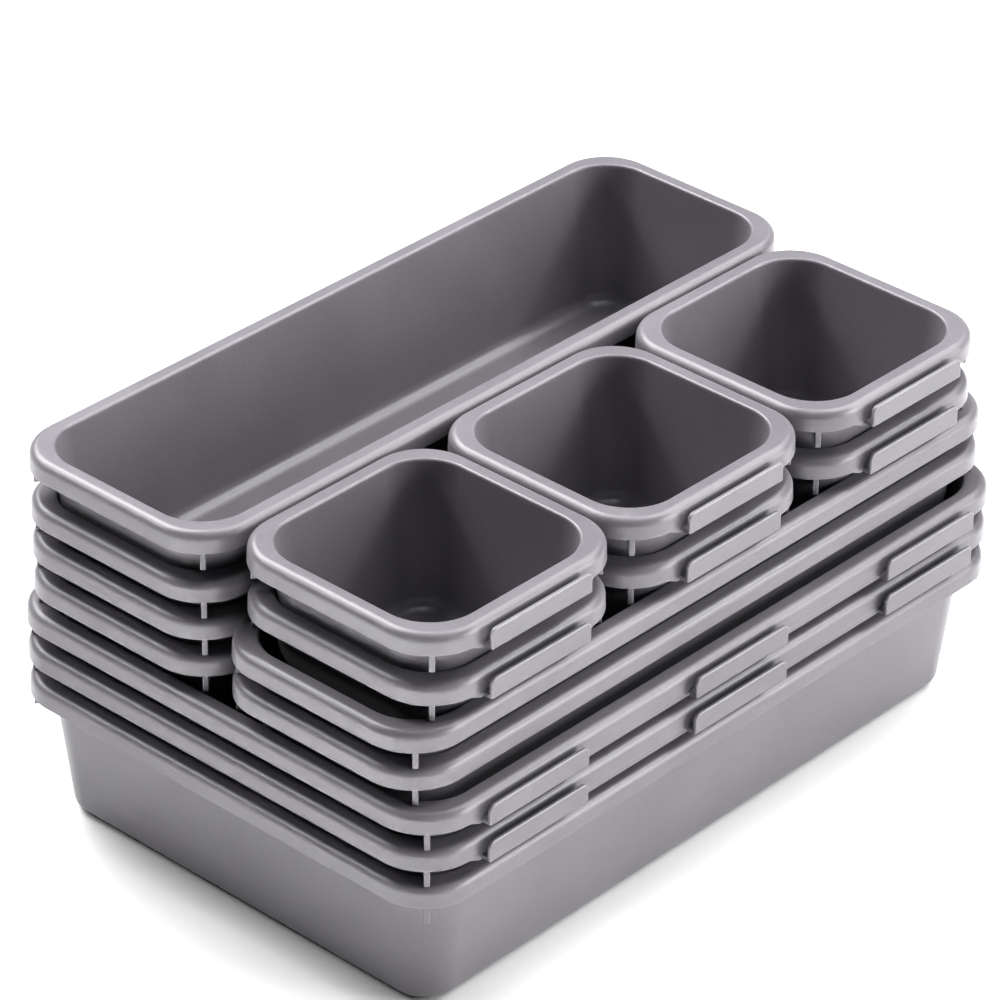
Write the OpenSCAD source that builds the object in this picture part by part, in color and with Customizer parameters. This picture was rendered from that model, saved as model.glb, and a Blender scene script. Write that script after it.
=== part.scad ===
// Nesting drawer organizer bins, stacked as they are kept: three large bins at the bottom,
// then two columns of long trays, with six small square bins in the right column.
// Every bin is one thin moulding: tapered walls, a rolled rim with a hanging skirt,
// a stacking rib on each corner's diagonal, and hooks that catch the next bin's skirt.
// The origin is at the centre of the lowest bin's underside. +X runs along the trays,
// +Y points to the left column and +Z is up.

/* [Bin footprints] */
// Length of the large bins over the rim
large_length = 240; // [220:1:300]
// Width of the large bins over the rim
large_width = 159; // [156:0.5:180]
// Length of the long trays over the rim
tray_length = 239.4; // [232:0.1:239.8]
// Width of the long trays, and both sides of the small bins, over the rim
tray_width = 75.4; // [70:0.1:75.8]

/* [Bin shape] */
// Height of every bin
bin_height = 44.6; // [40:0.1:60]
// Wall thickness, measured level
wall_t = 1.3; // [1:0.05:1.35]
// Thickness of the floor
floor_t = 1.3; // [1:0.1:2]
// How far the walls lean out for each millimetre of height
wall_draft = 0.12; // [0.12:0.005:0.14]
// Radius between the walls and the floor, outside
floor_r = 4; // [2.5:0.5:4.5]
// Outside corner radius of the walls just under the rim
wall_r = 15; // [14:0.5:18]

/* [Rim] */
// Outside corner radius of the rim, seen from above
rim_corner_r = 16; // [15:0.5:18]
// Height of the rim, from its top to the foot of its skirt
rim_height = 6.1; // [5.5:0.1:7]
// How far the rim stands out from the wall, at the foot of the skirt
rim_overhang = 5; // [4.5:0.1:6]
// Thickness of the rim's top and of its skirt
rim_t = 1.3; // [1:0.1:1.5]
// Rounding of the rim's outer top edge
rim_r = 2.6; // [2:0.1:3]
// Rounding of the rim's inner top edge
lip_r = 0.8; // [0.4:0.1:1]

/* [Stack] */
// Rise from one nested bin to the next
nest_rise = 11.5; // [11.3:0.1:14]
// Rise from a nested bin to the looser top layer
top_rise = 15; // [14.4:0.1:18]
// Distance between the centres of the two columns
column_pitch = 76; // [75.9:0.1:77]
// How far the pair of columns sits off the large bins' centre
column_shift = 0.7; // [-1:0.1:1]
// Distance between the centres of neighbouring small bins
small_pitch = 76; // [75.9:0.1:77]

/* [Corner ribs] */
// Thickness of a rib
rib_t = 1.6; // [1:0.1:2]
// Distance of a rib's outer end inside the skirt's outer face
rib_setback = 1; // [0.6:0.1:1.2]
// Gap left between a nested bin's rib and the rim that it stands over
rib_gap = 0.05; // [0.02:0.01:0.2]

/* [Hooks] */
// Length of a hook along the rim
hook_length = 38; // [20:1:50]
// Distance of the hook's outer face from the rim
hook_out = 3; // [2.8:0.1:3.5]
// Thickness of the hook
hook_t = 1.2; // [1:0.1:1.3]
// How far the hook hangs below the skirt
hook_drop = 1.3; // [1.3:0.1:2]
// How far the hook's outer wall rises above the foot of the skirt
hook_rise = 4.8; // [3:0.1:5]
// Rounding of the outer wall's top corners
hook_r = 2; // [1:0.1:3]
// How far the root strip under the skirt runs past the outermost hooks
root_run = 4; // [1:0.5:8]
// How far the root strip hangs below the skirt
root_drop = 1.7; // [1.4:0.1:2.2]
// Distance between the hooks on a large bin's long side
hook_pitch = 80.8; // [70:0.1:90]

/* [Hidden] */
$fn = 48;

plastic = [0.60, 0.58, 0.60];
arc_steps = 5;
weld = 0.3;                                  // how far joined pieces sink into each other
skirt_z = bin_height - rim_height;           // foot of the skirt
rim_under_z = bin_height - rim_t;            // underside of the rim's top
wall_in = rim_overhang + wall_r;             // wall corner axis, in from the rim's outer face
rib_drop = nest_rise - rim_height - rib_gap; // how far a rib reaches below the skirt
left_y = column_shift + column_pitch / 2;
right_y = column_shift - column_pitch / 2;
front = -1;                                  // places of the small bins along the tray
centre = 0;
back = 1;

// Height of a nested bin's underside, counted in steps up from the lowest bin.
function level_z(step) = step * nest_rise;

top_z = level_z(5) + top_rise;

// Distance of the wall's outer face from its corner axis, at a height.
function wall_u(z) = wall_r - wall_draft * (skirt_z - z);

// Points of an arc about [u, z], from one angle to another.
function arc(u, z, r, from, to) =
    [for (i = [0 : arc_steps]) let (a = from + (to - from) * i / arc_steps) [u + r * cos(a), z + r * sin(a)]];

// Half of a bin's floor and wall in section, as distance from the wall's corner axis and height.
function wall_section() =
    let (
        outer_u = wall_u(floor_r) - floor_r,
        inner_u = wall_u(bin_height) - wall_t + lip_r
    )
    concat(
        [[0, 0]],
        arc(outer_u, floor_r, floor_r, -90, 0),
        [[wall_u(bin_height), bin_height]],
        arc(inner_u, bin_height - lip_r, lip_r, 90, 180),
        arc(outer_u + floor_t - wall_t, floor_r, floor_r - floor_t, 0, -90),
        [[0, floor_t]]
    );

// The rim's rounded edge and skirt in section, from the rim's corner axis.
function rim_section() =
    let (
        u = rim_corner_r - rim_r,
        z = bin_height - rim_r
    )
    concat(
        [[u - weld, rim_under_z]],
        arc(u, z, rim_r - rim_t, 90, 0),
        [[rim_corner_r - rim_t, skirt_z], [rim_corner_r, skirt_z]],
        arc(u, z, rim_r, 0, 90),
        [[u - weld, bin_height]]
    );

// A section run round a rectangle, given by the distances between its corner axes.
module sweep(run_x, run_y, section) {
    for (s = [[0, run_x, run_y], [90, run_y, run_x], [180, run_x, run_y], [270, run_y, run_x]])
        rotate(s[0]) {
            translate([-s[1] / 2, s[2] / 2, 0])
                rotate([90, 0, 90])
                    linear_extrude(s[1])
                        polygon(section);
            translate([s[1] / 2, s[2] / 2, 0])
                rotate_extrude(angle = 90)
                    polygon(section);
        }
}

// A rectangle with rounded corners, given by its corner axes and radius.
module rounded(run_x, run_y, r) {
    square([run_x + 2 * r, run_y], center = true);
    square([run_x, run_y + 2 * r], center = true);
    for (sx = [-1, 1], sy = [-1, 1])
        translate([sx * run_x / 2, sy * run_y / 2]) circle(r);
}

module shell(length, width) {
    wall_x = length - 2 * wall_in;
    wall_y = width - 2 * wall_in;
    rim_x = length - 2 * rim_corner_r;
    rim_y = width - 2 * rim_corner_r;
    translate([-wall_x / 2, -wall_y / 2, 0])
        cube([wall_x, wall_y, floor_t]);
    sweep(wall_x, wall_y, wall_section());
    sweep(rim_x, rim_y, rim_section());
    translate([0, 0, rim_under_z])
        linear_extrude(rim_t)
            difference() {
                rounded(rim_x, rim_y, rim_corner_r - rim_r);
                rounded(wall_x, wall_y, wall_u(rim_under_z) - weld / 2);
            }
}

// A thin upright plate on a corner's diagonal, from the wall to the skirt.
module rib() {
    axis_gap = (wall_in - rim_corner_r) * sqrt(2);
    reach = rim_corner_r - rib_setback;
    foot_z = skirt_z - rib_drop;
    head_z = rim_under_z + weld;
    rotate([90, 0, 0])
        translate([0, 0, -rib_t / 2])
            linear_extrude(rib_t)
                polygon([
                    [wall_u(foot_z) - axis_gap - weld, foot_z],
                    [reach, foot_z],
                    [reach, bin_height - rim_r],
                    [rim_corner_r - rim_r, head_z],
                    [wall_u(head_z) - axis_gap - weld, head_z]
                ]);
}

module ribs(length, width) {
    for (sx = [-1, 1], sy = [-1, 1])
        translate([sx * (length / 2 - rim_corner_r), sy * (width / 2 - rim_corner_r), 0])
            rotate(atan2(sy, sx))
                rib();
}

// The hook's outer wall as a flat plate with rounded top corners.
module hook_plate() {
    height = hook_drop + hook_rise;
    half = hook_length / 2;
    translate([-half, 0]) square([hook_length, height - hook_r]);
    translate([-half + hook_r, 0]) square([hook_length - 2 * hook_r, height]);
    for (s = [-1, 1])
        translate([s * (half - hook_r), height - hook_r]) circle(hook_r);
}

// A channel under the skirt, open upwards, on the side that faces -Y.
module hook() {
    foot_z = skirt_z - hook_drop;
    translate([-hook_length / 2, -hook_out, foot_z])
        cube([hook_length, hook_out + rim_t, hook_t]);
    translate([0, hook_t - hook_out, foot_z])
        rotate([90, 0, 0])
            linear_extrude(hook_t)
                hook_plate();
}

// The hooks of one side, on a root strip that deepens the skirt from the first hook to the last.
module hook_row(count, reach) {
    run = (count - 1) * hook_pitch + hook_length + 2 * root_run;
    translate([-run / 2, -reach, skirt_z - root_drop])
        cube([run, rim_t, root_drop + weld]);
    for (i = [0 : count - 1])
        translate([(i - (count - 1) / 2) * hook_pitch, -reach, 0])
            hook();
}

// A large bin; its three hooks face -Y, or +Y when they are turned round.
module large_bin(step, hook_turn = 0) {
    color(plastic)
        translate([0, 0, level_z(step)]) {
            shell(large_length, large_width);
            ribs(large_length, large_width);
            rotate(hook_turn) hook_row(3, large_width / 2);
        }
}

// A long tray; its single hook is on the short end that faces +X.
module tray(y, z, hooked = true) {
    color(plastic)
        translate([0, y, z]) {
            shell(tray_length, tray_width);
            ribs(tray_length, tray_width);
            if (hooked) rotate(90) hook_row(1, tray_length / 2);
        }
}

// A small square bin; place counts from the front, with 0 in the middle.
module small_bin(place, z) {
    color(plastic)
        translate([place * small_pitch, right_y, z]) {
            shell(tray_width, tray_width);
            ribs(tray_width, tray_width);
            hook_row(1, tray_width / 2);
        }
}

module large_bin_bottom() { large_bin(0, hook_turn = 180); }
module large_bin_middle() { large_bin(1); }
module large_bin_top() { large_bin(2); }
module left_tray_lowest() { tray(left_y, level_z(3)); }
module left_tray_second() { tray(left_y, level_z(4)); }
module left_tray_third() { tray(left_y, level_z(5)); }
module left_tray_top() { tray(left_y, top_z, hooked = false); }
module right_tray_lower() { tray(right_y, level_z(3)); }
module right_tray_upper() { tray(right_y, level_z(4)); }
module small_bin_front_lower() { small_bin(front, level_z(5)); }
module small_bin_front_upper() { small_bin(front, top_z); }
module small_bin_middle_lower() { small_bin(centre, level_z(5)); }
module small_bin_middle_upper() { small_bin(centre, top_z); }
module small_bin_back_lower() { small_bin(back, level_z(5)); }
module small_bin_back_upper() { small_bin(back, top_z); }

large_bin_bottom();
large_bin_middle();
large_bin_top();
left_tray_lowest();
left_tray_second();
left_tray_third();
left_tray_top();
right_tray_lower();
right_tray_upper();
small_bin_front_lower();
small_bin_front_upper();
small_bin_middle_lower();
small_bin_middle_upper();
small_bin_back_lower();
small_bin_back_upper();
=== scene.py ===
import math

import bmesh
import bpy
from mathutils import Matrix, Vector


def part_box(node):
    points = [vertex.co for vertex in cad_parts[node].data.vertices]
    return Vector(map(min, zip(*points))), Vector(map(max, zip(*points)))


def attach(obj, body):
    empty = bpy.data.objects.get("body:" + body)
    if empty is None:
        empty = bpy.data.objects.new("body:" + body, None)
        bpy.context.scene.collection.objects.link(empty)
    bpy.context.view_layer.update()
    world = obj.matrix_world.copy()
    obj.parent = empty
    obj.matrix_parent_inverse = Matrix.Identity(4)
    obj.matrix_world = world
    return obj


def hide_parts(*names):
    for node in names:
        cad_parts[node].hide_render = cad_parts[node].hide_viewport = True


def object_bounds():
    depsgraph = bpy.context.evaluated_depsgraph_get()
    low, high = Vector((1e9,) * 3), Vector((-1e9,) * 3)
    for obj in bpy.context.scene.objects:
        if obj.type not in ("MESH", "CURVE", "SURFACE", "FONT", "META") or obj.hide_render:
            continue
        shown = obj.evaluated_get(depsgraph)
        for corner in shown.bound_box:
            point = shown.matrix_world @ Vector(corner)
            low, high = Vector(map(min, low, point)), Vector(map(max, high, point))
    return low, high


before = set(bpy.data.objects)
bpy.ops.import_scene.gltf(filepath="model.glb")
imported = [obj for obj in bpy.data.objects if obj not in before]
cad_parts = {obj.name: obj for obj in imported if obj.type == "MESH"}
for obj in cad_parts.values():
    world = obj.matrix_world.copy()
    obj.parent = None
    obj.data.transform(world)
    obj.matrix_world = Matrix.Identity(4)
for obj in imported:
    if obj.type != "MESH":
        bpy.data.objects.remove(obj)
cad_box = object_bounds()
MM = 0.001

# ---------------------------------------------------------------- driving sizes, in millimetres

FREE_TRAY = "left_tray_top"          # a tray without a hook: its box is the bare rim
LARGE = "large_bin_top"


def box_mm(node):
    low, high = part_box(node)
    return low / MM, high / MM


tray_low, tray_high = box_mm(FREE_TRAY)
large_low, large_high = box_mm(LARGE)
tray_length = tray_high.x - tray_low.x
tray_width = tray_high.y - tray_low.y
large_length = large_high.x - large_low.x
large_width = 2 * large_high.y
hook_out = -large_low.y - large_high.y
bin_height = tray_high.z - tray_low.z

wall_t = 1.3
floor_t = 1.3
wall_draft = 0.12
wall_r = 15.0
floor_r = 4.0
inner_floor_r = 4.2                  # the moulding's soft inside fillet
rim_corner_r = 16.0
rim_height = 6.1
rim_overhang = 5.0
rim_t = 1.3
rim_r = 2.6
rim_flare = 0.12                     # how far the skirt leans in from its foot to the rounding
lip_r = 0.85
foot_r = 0.35                        # rounding of the skirt's foot
under_r = 0.7                        # fillet where the wall meets the rim

rib_t = 1.6
rib_reach = rim_corner_r - 1.0
rib_drop = 5.35

hook_length = 38.0
hook_t = 1.2
hook_drop = 1.3
hook_rise = 4.8
hook_r = 2.0
root_run = 4.0
root_drop = 1.7
hook_pitch = 80.8
edge_r = 0.28                        # rounding of the ribs', strips' and channels' edges
hook_edge_r = 0.45                   # rounding of the hooks' outer walls
hook_bed = 0.4                       # share of the hook's wall that its channel reaches into
rim_bed = 0.6                        # share of the skirt's thickness that the channel reaches into
trim = 0.01                          # keeps faces that would coincide apart
strip_inset = 0.12                   # the root strip stands back from both faces of the skirt
strip_shoulder = 0.6                 # run of the slope at each end of the strip
strip_end = 0.2                      # drop of the strip at its very ends
strip_bed = 0.6                      # how far the strip reaches up into the skirt
rib_bed = 0.5                        # how far a rib reaches into the wall
rib_head_bed = 0.3                   # how far a rib reaches up into the rim
rib_shoulder = 0.2                   # a rib's outer end stops this far below the rim's rounding

skirt_z = bin_height - rim_height
rim_under_z = bin_height - rim_t
wall_in = rim_overhang + wall_r

CORNER_STEPS = 18
ARC_STEPS = 8
WALL_RINGS = 5                       # rings up the outside of a wall; the inside has as many
SIDE_STEP = 9.0                      # longest stretch of a straight side between two vertices
FLOOR_SUPPORT = 1.2                  # distances of the rings that keep flats flat beside roundings
WALL_SUPPORT = 0.6
INNER_SUPPORT = 0.7
TOP_SUPPORT = 0.5
SKIRT_SUPPORT_IN = 0.4
SKIRT_SUPPORT_OUT = 0.6
FLARE_AT_FOOT = 0.3                  # share of the flare reached just above the skirt's foot
SHARP_ANGLE = 38                     # degrees; steeper edges are shaded as creases

# ---------------------------------------------------------------- looks

PLASTIC = (0.150, 0.142, 0.157)      # linear colour of the plastic
FLOOR = 0.86
BACKDROP = 0.94                      # brightness of the backdrop, as the camera sees it
FADE_START = 0.16                    # metres from the object's middle
FADE_END = 0.55
AMBIENT = 0.03                       # strength of the light from all round
VIEW_GAMMA = 0.9
VIEW_EXPOSURE = 0.18

BROAD_SCALE = 26                     # mottling of a few centimetres
FINE_SCALE = 900                     # moulded texture of about a millimetre
GRAIN_SCALE = 2600                   # the finest grain
SCUFF_STRETCH = (60, 60, 900)        # makes noise into thin level scuffs
WEAR_AND_HIGHLIGHT_FROM, WEAR_AND_HIGHLIGHT_TO = 0.2, 1.2        # curvature per millimetre at which the paler edges, part wear and part painted highlight, start and are full
PLASTIC_IOR = 1.49
SHEEN = 0.05
SHEEN_ROUGHNESS = 0.5
NORMAL_WEIGHT = 60                   # how much a face's size counts in the shading of its corners

CAMERA_AZIMUTH = -47.62              # degrees; azimuth 0 stands on the -Y side
CAMERA_ELEVATION = 31.58
CAMERA_ROLL = 0.70
CAMERA_DISTANCE = 1.4601             # metres
CAMERA_CLIP = (0.05, 20)             # metres
CAMERA_LENS = 183.4                  # millimetres, on a 36 mm sensor
SENSOR_WIDTH = 36
AIM = Vector((30.27, 36.61, 50.0)) * MM

LAMP_DISTANCE = 1.5
FLOOR_REACH = 14                     # half the floor's side, in lengths of the object's diagonal
FLOOR_DROP = 0.0002                  # metres; keeps the floor clear of the undersides
WASH_SIZE = 0.3                      # lamps that only light a pool of the floor beside the object
WASH_HEIGHT = 0.6
WASH_SPREAD = 30


# ---------------------------------------------------------------- the bins' shell

def wall_u(z):
    """Distance of the wall's outer face from the wall's corner axis, at a height."""
    return wall_r - wall_draft * (skirt_z - z)


def arc(u, z, r, start, end, steps=ARC_STEPS):
    """Points of an arc about (u, z); the angles are in degrees."""
    points = []
    for i in range(steps + 1):
        a = math.radians(start + (end - start) * i / steps)
        points.append((u + r * math.cos(a), z + r * math.sin(a)))
    return points


def tangent_u(z_foot, r, face_u):
    """Centre of a fillet of radius r between a level floor and the leaning wall."""
    return face_u(z_foot + r) - r * math.hypot(1, wall_draft)


def inner_face(z):
    """Distance of the wall's inner face from the wall's corner axis, at a height."""
    return wall_u(z) - wall_t * math.hypot(1, wall_draft)


def profile():
    """The section's rings from the underside, out round the rim and in to the floor.

    Each ring is (family, u, z): the wall and the rim turn about different corner axes."""
    lean = math.degrees(math.atan(wall_draft))
    rings = []

    def add(family, points):
        rings.extend((family, u, z) for u, z in points)

    outer_u = tangent_u(0, floor_r, wall_u)
    add("wall", [(outer_u - FLOOR_SUPPORT, 0)])
    add("wall", arc(outer_u, floor_r, floor_r, -90, -lean))
    top = rim_under_z - under_r
    span = top - floor_r
    for i in range(1, WALL_RINGS):
        z = floor_r + WALL_SUPPORT + (span - 2 * WALL_SUPPORT) * i / WALL_RINGS
        add("wall", [(wall_u(z), z)])
    add("wall", arc(wall_u(top) + under_r, top, under_r, 180 - lean, 90, 4))

    round_u = rim_corner_r - rim_r
    round_z = bin_height - rim_r
    skirt_in = rim_corner_r - rim_t
    foot_z = skirt_z + foot_r
    add("rim", arc(round_u, round_z, rim_r - rim_t, 90, 0, 5))
    add("rim", [(skirt_in, foot_z + SKIRT_SUPPORT_IN)])
    add("rim", arc(skirt_in + foot_r, foot_z, foot_r, 180, 270, 4))
    add("rim", arc(rim_corner_r - foot_r, foot_z, foot_r, 270, 360, 4))
    add("rim", [(rim_corner_r - rim_flare * FLARE_AT_FOOT, foot_z + SKIRT_SUPPORT_OUT)])
    shoulder_r = rim_r - rim_flare
    add("rim", arc(round_u, bin_height - shoulder_r, shoulder_r, 0, 90, 10))

    lip_u = inner_face(bin_height) + lip_r
    lip_z = bin_height - lip_r
    add("rim", [(round_u - TOP_SUPPORT, bin_height)])
    add("wall", [(lip_u + TOP_SUPPORT, bin_height)])
    add("wall", arc(lip_u, lip_z, lip_r, 90, 180 - lean, 6))
    low = floor_t + inner_floor_r
    span = lip_z - low
    for i in range(WALL_RINGS):
        z = lip_z - INNER_SUPPORT - (span - 2 * INNER_SUPPORT) * i / (WALL_RINGS - 1)
        add("wall", [(inner_face(z), z)])
    inner_u = tangent_u(floor_t, inner_floor_r, inner_face)
    add("wall", arc(inner_u, low, inner_floor_r, -lean, -90, 10))
    add("wall", [(inner_u - FLOOR_SUPPORT, floor_t)])
    return rings


def outline(half_x, half_y, r, steps_x, steps_y):
    """One closed ring of points round a rounded rectangle."""
    run_x, run_y = half_x - r, half_y - r
    points = []
    corners = ((1, 1, 0), (-1, 1, 90), (-1, -1, 180), (1, -1, 270))
    for i, (sx, sy, turn) in enumerate(corners):
        for k in range(CORNER_STEPS + 1):
            a = math.radians(turn + 90 * k / CORNER_STEPS)
            points.append((sx * run_x + r * math.cos(a), sy * run_y + r * math.sin(a)))
        steps = steps_x if i % 2 == 0 else steps_y
        x0, y0 = points[-1]
        nx, ny, next_turn = corners[(i + 1) % 4]
        a = math.radians(next_turn)
        x1, y1 = nx * run_x + r * math.cos(a), ny * run_y + r * math.sin(a)
        for k in range(1, steps):
            t = k / steps
            points.append((x0 + (x1 - x0) * t, y0 + (y1 - y0) * t))
    return points


def shell_mesh(length, width):
    """The bare bin as one closed skin: outside, rim, skirt and inside."""
    steps_x = math.ceil((length - 2 * wall_in) / SIDE_STEP)
    steps_y = math.ceil((width - 2 * wall_in) / SIDE_STEP)
    bm = bmesh.new()
    loops = []
    for family, u, z in profile():
        inset = wall_in if family == "wall" else rim_corner_r
        points = outline(length / 2 - inset + u, width / 2 - inset + u, u, steps_x, steps_y)
        loops.append([bm.verts.new((x * MM, y * MM, z * MM)) for x, y in points])
    for below, above in zip(loops, loops[1:]):
        n = len(below)
        for i in range(n):
            j = (i + 1) % n
            bm.faces.new((below[i], below[j], above[j], above[i]))
    bm.faces.new(list(reversed(loops[0])))
    bm.faces.new(loops[-1])
    bmesh.ops.recalc_face_normals(bm, faces=bm.faces)
    mesh = bpy.data.meshes.new("shell")
    bm.to_mesh(mesh)
    bm.free()
    return mesh


# ---------------------------------------------------------------- ribs and hooks

def along_x(s, a, b):
    return s * MM, a * MM, b * MM


def along_y(s, a, b):
    return a * MM, s * MM, b * MM


def prism(bm, section, low, high, place):
    """A polygon in two axes run along the third; place turns (along, a, b) into x, y, z."""
    first = [bm.verts.new(place(low, a, b)) for a, b in section]
    last = [bm.verts.new(place(high, a, b)) for a, b in section]
    n = len(section)
    faces = [bm.faces.new(first[::-1]), bm.faces.new(last)]
    for i in range(n):
        j = (i + 1) % n
        faces.append(bm.faces.new((first[i], first[j], last[j], last[i])))
    bmesh.ops.recalc_face_normals(bm, faces=faces)


def soften(bm, radius, segments=3, turn=40):
    """Rounds the solid's sharp edges."""
    edges = [e for e in bm.edges
             if len(e.link_faces) == 2 and e.calc_face_angle() > math.radians(turn)]
    bmesh.ops.bevel(bm, geom=edges, offset=radius * MM, offset_type="OFFSET", segments=segments,
                    profile=0.5, affect="EDGES", clamp_overlap=True)


def solid(section, low, high, place, radius, segments=3):
    """A prism with rounded edges, as its own mesh."""
    bm = bmesh.new()
    prism(bm, section, low, high, place)
    soften(bm, radius, segments)
    mesh = bpy.data.meshes.new("solid")
    bm.to_mesh(mesh)
    bm.free()
    return mesh


def hook_solid():
    """A channel under the skirt, open at the top, on a side facing -Y with its rim at y = 0."""
    foot = skirt_z - hook_drop
    head = skirt_z + hook_rise
    half = hook_length / 2
    plate = [(-half, foot), (half, foot)]
    plate += arc(half - hook_r, head - hook_r, hook_r, 0, 90, 10)
    plate += arc(hook_r - half, head - hook_r, hook_r, 90, 180, 10)
    outer_y = hook_t * hook_bed - hook_out
    inner_y = rim_t * rim_bed
    channel = [(outer_y, foot + trim), (inner_y, foot + trim),
               (inner_y, foot + hook_t), (outer_y, foot + hook_t)]
    parts = [
        solid(plate, -hook_out, hook_t - hook_out, along_y, hook_edge_r, 4),
        solid(channel, 2 * trim - half, half - 2 * trim, along_x, edge_r),
    ]
    bm = bmesh.new()
    for part in parts:
        bm.from_mesh(part)
        bpy.data.meshes.remove(part)
    mesh = bpy.data.meshes.new("hook")
    bm.to_mesh(mesh)
    bm.free()
    return mesh


def strip_solid(half):
    """The strip that deepens the skirt from the first hook to the last, with sloping ends."""
    run = half + root_run
    low = skirt_z - root_drop
    end = skirt_z - strip_end
    head = skirt_z + strip_bed
    section = [(-run, head), (-run, end), (-half - strip_shoulder, low),
               (half + strip_shoulder, low), (run, end), (run, head)]
    return solid(section, strip_inset, rim_t - strip_inset, along_y, edge_r)


def rib_solid():
    """A thin plate on a corner's diagonal: x runs outwards from the rim's corner axis."""
    axis_gap = (wall_in - rim_corner_r) * math.sqrt(2)
    foot = skirt_z - rib_drop
    head = rim_under_z + rib_head_bed
    section = [
        (wall_u(foot) - axis_gap - rib_bed, foot), (rib_reach, foot),
        (rib_reach, bin_height - rim_r - rib_shoulder), (rim_corner_r - rim_r, head),
        (wall_u(head) - axis_gap - rib_bed, head),
    ]
    return solid(section, -rib_t / 2, rib_t / 2, along_y, edge_r)


def fittings_mesh(length, width, hooks, hooks_on_end):
    """The four corner ribs and the hooks of one kind of bin, as one mesh of closed solids."""
    bm = bmesh.new()

    def put(mesh, matrix):
        copy = mesh.copy()
        copy.transform(matrix)
        bm.from_mesh(copy)
        bpy.data.meshes.remove(copy)

    rib = rib_solid()
    for sx in (-1, 1):
        for sy in (-1, 1):
            x, y = sx * (length / 2 - rim_corner_r), sy * (width / 2 - rim_corner_r)
            place = Matrix.Translation((x * MM, y * MM, 0))
            put(rib, place @ Matrix.Rotation(math.atan2(sy, sx), 4, "Z"))
    if hooks:
        hook = hook_solid()
        turn = Matrix.Rotation(math.radians(90 if hooks_on_end else 0), 4, "Z")
        reach = (length if hooks_on_end else width) / 2
        strip = strip_solid(((hooks - 1) * hook_pitch + hook_length) / 2)
        put(strip, turn @ Matrix.Translation((0, -reach * MM, 0)))
        for i in range(hooks):
            along = (i - (hooks - 1) / 2) * hook_pitch
            put(hook, turn @ Matrix.Translation((along * MM, -reach * MM, 0)))
        bpy.data.meshes.remove(hook)
        bpy.data.meshes.remove(strip)
    bpy.data.meshes.remove(rib)
    mesh = bpy.data.meshes.new("fittings")
    bm.to_mesh(mesh)
    bm.free()
    return mesh


def mark_bulges(bm):
    """Stores each vertex's mean curvature per millimetre, positive where convex, for the paler
    edges, which are part wear and part painted highlight.
    """
    layer = bm.verts.layers.float.new("bulge")
    for v in bm.verts:
        area = sum(f.calc_area() / len(f.verts) for f in v.link_faces)
        bend = sum(e.calc_length() * e.calc_face_angle_signed(0) for e in v.link_edges)
        v[layer] = bend / (4 * area) * MM


def bin_mesh(length, width, hooks, hooks_on_end=False):
    """A whole bin: the shell with its ribs and hooks fused in, as one closed mesh."""
    body = bpy.data.objects.new("bin_body", shell_mesh(length, width))
    fittings = fittings_mesh(length, width, hooks, hooks_on_end)
    extra = bpy.data.objects.new("bin_fittings", fittings)
    for o in (body, extra):
        bpy.context.scene.collection.objects.link(o)
    fuse = body.modifiers.new("fuse", "BOOLEAN")
    fuse.operation = "UNION"
    fuse.solver = "EXACT"
    fuse.use_self = True
    fuse.object = extra
    bpy.context.view_layer.update()
    depsgraph = bpy.context.evaluated_depsgraph_get()
    mesh = bpy.data.meshes.new_from_object(body.evaluated_get(depsgraph), depsgraph=depsgraph)
    for o in (body, extra):
        data = o.data
        bpy.data.objects.remove(o)
        bpy.data.meshes.remove(data)
    bm = bmesh.new()
    bm.from_mesh(mesh)
    bmesh.ops.remove_doubles(bm, verts=bm.verts, dist=2e-6)
    bmesh.ops.dissolve_degenerate(bm, edges=bm.edges, dist=1e-6)
    for f in bm.faces:
        f.smooth = True
    mark_bulges(bm)
    bm.to_mesh(mesh)
    bm.free()
    mesh.set_sharp_from_angle(angle=math.radians(SHARP_ANGLE))
    return mesh


# ---------------------------------------------------------------- material

def nodes_of(material):
    material.use_nodes = True
    tree = material.node_tree
    tree.nodes.clear()
    return tree, tree.nodes, tree.links


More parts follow.
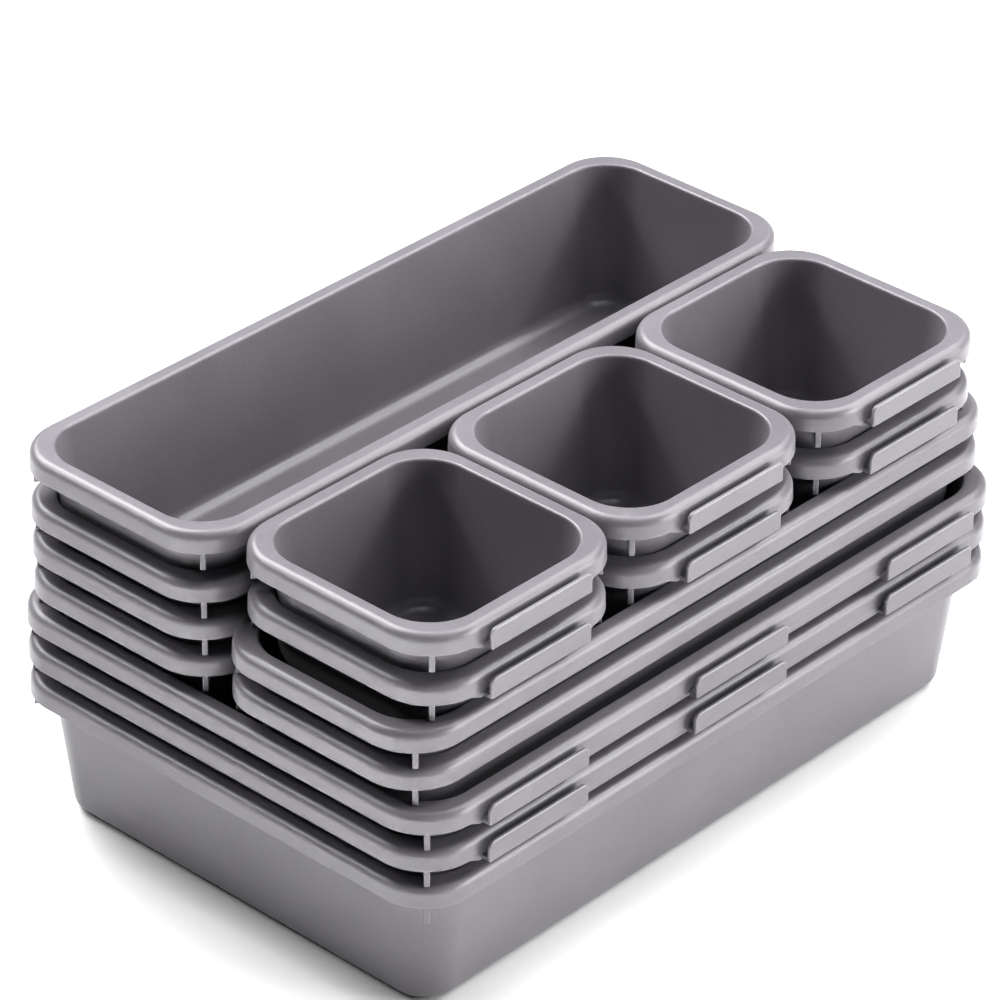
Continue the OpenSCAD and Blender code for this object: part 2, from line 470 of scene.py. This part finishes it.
def plastic_material():
    """Satin grey polypropylene: fine grain, soft mottling, paler edges that are part wear and part
    painted highlight, faint scuffs.
    """
    material = bpy.data.materials.new("satin_grey_plastic")
    tree, nodes, links = nodes_of(material)

    def node(kind, **values):
        n = nodes.new(kind)
        for key, value in values.items():
            setattr(n, key, value)
        return n

    def math_node(operation, a, b=0.0, clamp=False):
        n = node("ShaderNodeMath", operation=operation, use_clamp=clamp)
        for socket, value in zip(n.inputs, (a, b)):
            if isinstance(value, (int, float)):
                socket.default_value = value
            else:
                links.new(value, socket)
        return n.outputs[0]

    def noise(vector, scale, detail=2.0, roughness=0.5):
        n = node("ShaderNodeTexNoise")
        n.inputs["Scale"].default_value = scale
        n.inputs["Detail"].default_value = detail
        n.inputs["Roughness"].default_value = roughness
        links.new(vector, n.inputs["Vector"])
        return n.outputs["Fac"]

    def ramp(value, low, high, out_low=0.0, out_high=1.0):
        n = node("ShaderNodeMapRange", clamp=True, interpolation_type="SMOOTHSTEP")
        links.new(value, n.inputs["Value"])
        limits = {"From Min": low, "From Max": high, "To Min": out_low, "To Max": out_high}
        for name, number in limits.items():
            n.inputs[name].default_value = number
        return n.outputs[0]

    def mix(factor, a, b):
        n = node("ShaderNodeMix", data_type="RGBA")
        for name, value in (("Factor", factor), ("A", a), ("B", b)):
            socket = next(s for s in n.inputs if s.name == name and s.enabled)
            if isinstance(value, (int, float, tuple)):
                socket.default_value = value
            else:
                links.new(value, socket)
        return next(s for s in n.outputs if s.enabled)

    coords = node("ShaderNodeTexCoord").outputs["Object"]
    info = node("ShaderNodeObjectInfo").outputs["Random"]
    spread = node("ShaderNodeVectorMath", operation="SCALE")
    spread.inputs[0].default_value = (0.7, 0.4, 0.9)
    links.new(info, spread.inputs["Scale"])
    shift = node("ShaderNodeVectorMath", operation="ADD")
    links.new(coords, shift.inputs[0])
    links.new(spread.outputs[0], shift.inputs[1])
    place = shift.outputs[0]

    broad = noise(place, BROAD_SCALE, 3, 0.55)
    fine = noise(place, FINE_SCALE, 3, 0.6)
    grain = noise(place, GRAIN_SCALE, 2, 0.6)
    stretched = node("ShaderNodeMapping")
    stretched.inputs["Scale"].default_value = SCUFF_STRETCH
    links.new(place, stretched.inputs["Vector"])
    streak = noise(stretched.outputs[0], 1.0, 3, 0.6)

    plain = (*PLASTIC, 1)
    darker = tuple(c * 0.90 for c in PLASTIC) + (1,)
    paler = tuple(min(1, c * 1.42 + 0.012) for c in PLASTIC) + (1,)
    mottled = mix(ramp(broad, 0.35, 0.7), darker, plain)
    speckled = mix(math_node("MULTIPLY", ramp(fine, 0.5, 0.75), 0.16), mottled, paler)
    bulge = node("ShaderNodeAttribute", attribute_name="bulge").outputs["Fac"]
    # convex edges are painted paler: partly wear, partly a painted highlight for the light that
    # rounded edges catch
    edge = ramp(bulge, WEAR_AND_HIGHLIGHT_FROM, WEAR_AND_HIGHLIGHT_TO)
    wear_and_highlight = math_node("MULTIPLY", edge, ramp(broad, 0.25, 0.6, 0.35, 0.75))
    worn_and_highlighted = mix(wear_and_highlight, speckled, paler)
    scuff = math_node("MULTIPLY", ramp(streak, 0.66, 0.74), ramp(broad, 0.5, 0.62))
    scuffed = mix(math_node("MULTIPLY", scuff, 0.22), worn_and_highlighted, paler)
    tone = node("ShaderNodeHueSaturation")
    links.new(scuffed, tone.inputs["Color"])
    links.new(ramp(info, 0, 1, 0.97, 1.03), tone.inputs["Value"])

    rough = math_node("ADD", ramp(broad, 0.3, 0.7, 0.28, 0.34), ramp(fine, 0.3, 0.8, 0.0, 0.07))
    rough = math_node("ADD", rough, math_node("MULTIPLY", scuff, 0.12))

    def bump(height, strength, distance, below=None):
        n = node("ShaderNodeBump")
        n.inputs["Strength"].default_value = strength
        n.inputs["Distance"].default_value = distance
        links.new(height, n.inputs["Height"])
        if below is not None:
            links.new(below, n.inputs["Normal"])
        return n.outputs[0]

    relief = bump(grain, 0.16, 0.00012)
    relief = bump(fine, 0.14, 0.00025, relief)
    relief = bump(broad, 0.22, 0.0008, relief)

    surface = node("ShaderNodeBsdfPrincipled")
    links.new(tone.outputs[0], surface.inputs["Base Color"])
    links.new(rough, surface.inputs["Roughness"])
    links.new(relief, surface.inputs["Normal"])
    surface.inputs["IOR"].default_value = PLASTIC_IOR
    surface.inputs["Sheen Weight"].default_value = SHEEN
    surface.inputs["Sheen Roughness"].default_value = SHEEN_ROUGHNESS
    out = node("ShaderNodeOutputMaterial")
    links.new(surface.outputs[0], out.inputs["Surface"])
    return material


def floor_material():
    """A matt, pale floor with faint mottling; away from the object it fades into the backdrop."""
    material = bpy.data.materials.new("studio_sweep")
    tree, nodes, links = nodes_of(material)
    coords = nodes.new("ShaderNodeTexCoord").outputs["Object"]
    grain = nodes.new("ShaderNodeTexNoise")
    grain.inputs["Scale"].default_value = 14
    links.new(coords, grain.inputs["Vector"])
    colours = nodes.new("ShaderNodeValToRGB")
    for element, share in zip(colours.color_ramp.elements, (0.98, 1)):
        element.color = (FLOOR * share, FLOOR * share, FLOOR * share, 1)
    links.new(grain.outputs["Fac"], colours.inputs["Fac"])
    surface = nodes.new("ShaderNodeBsdfPrincipled")
    surface.inputs["Roughness"].default_value = 0.9
    surface.inputs["Specular IOR Level"].default_value = 0.1
    links.new(colours.outputs[0], surface.inputs["Base Color"])

    distance = nodes.new("ShaderNodeVectorMath")
    distance.operation = "LENGTH"
    links.new(coords, distance.inputs[0])
    fade = nodes.new("ShaderNodeMapRange")
    fade.interpolation_type = "SMOOTHSTEP"
    fade.inputs["From Min"].default_value = FADE_START
    fade.inputs["From Max"].default_value = FADE_END
    links.new(distance.outputs["Value"], fade.inputs["Value"])
    seen = nodes.new("ShaderNodeMath")
    seen.operation = "MULTIPLY"
    links.new(fade.outputs[0], seen.inputs[0])
    links.new(nodes.new("ShaderNodeLightPath").outputs["Is Camera Ray"], seen.inputs[1])
    glow = nodes.new("ShaderNodeEmission")
    glow.inputs["Strength"].default_value = BACKDROP
    blend = nodes.new("ShaderNodeMixShader")
    links.new(seen.outputs[0], blend.inputs["Fac"])
    links.new(surface.outputs[0], blend.inputs[1])
    links.new(glow.outputs[0], blend.inputs[2])
    out = nodes.new("ShaderNodeOutputMaterial")
    links.new(blend.outputs[0], out.inputs["Surface"])
    return material


# ---------------------------------------------------------------- the bins, each on its own body

plastic = plastic_material()
kinds = {
    "large": (large_length, large_width, bin_mesh(large_length, large_width, 3)),
    "tray": (tray_length, tray_width, bin_mesh(tray_length, tray_width, 1, True)),
    "free": (tray_length, tray_width, bin_mesh(tray_length, tray_width, 0)),
    "small": (tray_width, tray_width, bin_mesh(tray_width, tray_width, 1)),
}
for node_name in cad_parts:
    kind = "large" if "large" in node_name else "small" if "small" in node_name else "tray"
    if node_name == FREE_TRAY:
        kind = "free"
    length, width, mesh = kinds[kind]
    low, high = box_mm(node_name)
    turned = kind == "large" and high.y > width / 2 + 1
    piece = bpy.data.objects.new(node_name + "_moulding", mesh.copy())
    bpy.context.scene.collection.objects.link(piece)
    y = low.y + width / 2 if turned else high.y - width / 2
    piece.location = Vector((low.x + length / 2, y, low.z)) * MM
    piece.rotation_euler.z = math.pi if turned else 0
    piece.data.materials.clear()
    piece.data.materials.append(plastic)
    normals = piece.modifiers.new("even_normals", "WEIGHTED_NORMAL")
    normals.keep_sharp = True
    normals.weight = NORMAL_WEIGHT
    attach(piece, node_name)
    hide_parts(node_name)
for length, width, mesh in kinds.values():
    bpy.data.meshes.remove(mesh)

# ---------------------------------------------------------------- floor, light and camera

low, high = cad_box
middle = (low + high) / 2
size = (high - low).length

sweep = bpy.data.meshes.new("sweep")
reach = size * FLOOR_REACH
square = [(-reach, -reach, 0), (reach, -reach, 0), (reach, reach, 0), (-reach, reach, 0)]
sweep.from_pydata(square, [], [(0, 1, 2, 3)])
floor = bpy.data.objects.new("floor", sweep)
floor.location.z = -FLOOR_DROP
floor.data.materials.append(floor_material())
bpy.context.scene.collection.objects.link(floor)


def softbox(name, width, power, location, facing):
    """A square area light at a point; facing is the direction from what it lights to the lamp."""
    lamp = bpy.data.lights.new(name, "AREA")
    lamp.shape = "SQUARE"
    lamp.size = width
    lamp.energy = power
    lamp_object = bpy.data.objects.new(name, lamp)
    lamp_object.location = location
    lamp_object.rotation_euler = facing.to_track_quat("Z", "Y").to_euler()
    bpy.context.scene.collection.objects.link(lamp_object)
    return lamp


def area_light(name, azimuth, elevation, width, power):
    """A softbox that faces the object; azimuth 0 stands on the -Y side and 90 on the +X side."""
    a, e = math.radians(azimuth), math.radians(elevation)
    away = Vector((math.sin(a) * math.cos(e), -math.cos(a) * math.cos(e), math.sin(e)))
    softbox(name, width, power, middle + away * LAMP_DISTANCE, away)


def floor_wash(name, azimuth, reach, power):
    """A lamp that only lights a pool of the floor beside the object, which bounces it back up."""
    a = math.radians(azimuth)
    above = Vector((math.sin(a) * reach, -math.cos(a) * reach, WASH_HEIGHT))
    lamp = softbox(name, WASH_SIZE, power, above, Vector((0, 0, 1)))
    lamp.spread = math.radians(WASH_SPREAD)


area_light("front_low_box", 30, 12, 0.8, 22)
area_light("key_box", 75, 58, 1.1, 26)
area_light("back_box", 178, 52, 1.1, 44)
area_light("left_accent", -138, 39, 0.16, 4)
area_light("right_accent", 50, 35, 0.22, 5.5)
area_light("top_accent", -47, 82, 0.25, 2)
floor_wash("left_wash", -78, 0.43, 5)
floor_wash("front_wash", -25, 0.40, 1)

world = bpy.data.worlds.new("studio")
world.use_nodes = True
background = world.node_tree.nodes["Background"]
background.inputs["Color"].default_value = (1, 1, 1, 1)
seen = world.node_tree.nodes.new("ShaderNodeLightPath").outputs["Is Camera Ray"]
strength = world.node_tree.nodes.new("ShaderNodeMapRange")
strength.inputs["To Min"].default_value = AMBIENT
strength.inputs["To Max"].default_value = BACKDROP
world.node_tree.links.new(seen, strength.inputs["Value"])
world.node_tree.links.new(strength.outputs[0], background.inputs["Strength"])
bpy.context.scene.world = world
view = bpy.context.scene.view_settings
view.view_transform = "Standard"
view.gamma = VIEW_GAMMA
view.exposure = VIEW_EXPOSURE

camera = bpy.data.objects.new("camera", bpy.data.cameras.new("camera"))
bpy.context.scene.collection.objects.link(camera)
camera.data.lens = CAMERA_LENS
camera.data.sensor_width = SENSOR_WIDTH
camera.data.clip_start, camera.data.clip_end = CAMERA_CLIP
a, e, roll = (math.radians(v) for v in (CAMERA_AZIMUTH, CAMERA_ELEVATION, CAMERA_ROLL))
back = Vector((math.sin(a) * math.cos(e), -math.cos(a) * math.cos(e), math.sin(e)))
level = Vector((math.cos(a), math.sin(a), 0))
upright = back.cross(level)
right = level * math.cos(roll) + upright * math.sin(roll)
up = upright * math.cos(roll) - level * math.sin(roll)
turn = Matrix((right, up, back)).transposed().to_4x4()
camera.matrix_world = Matrix.Translation(AIM + back * CAMERA_DISTANCE) @ turn
bpy.context.scene.camera = camera
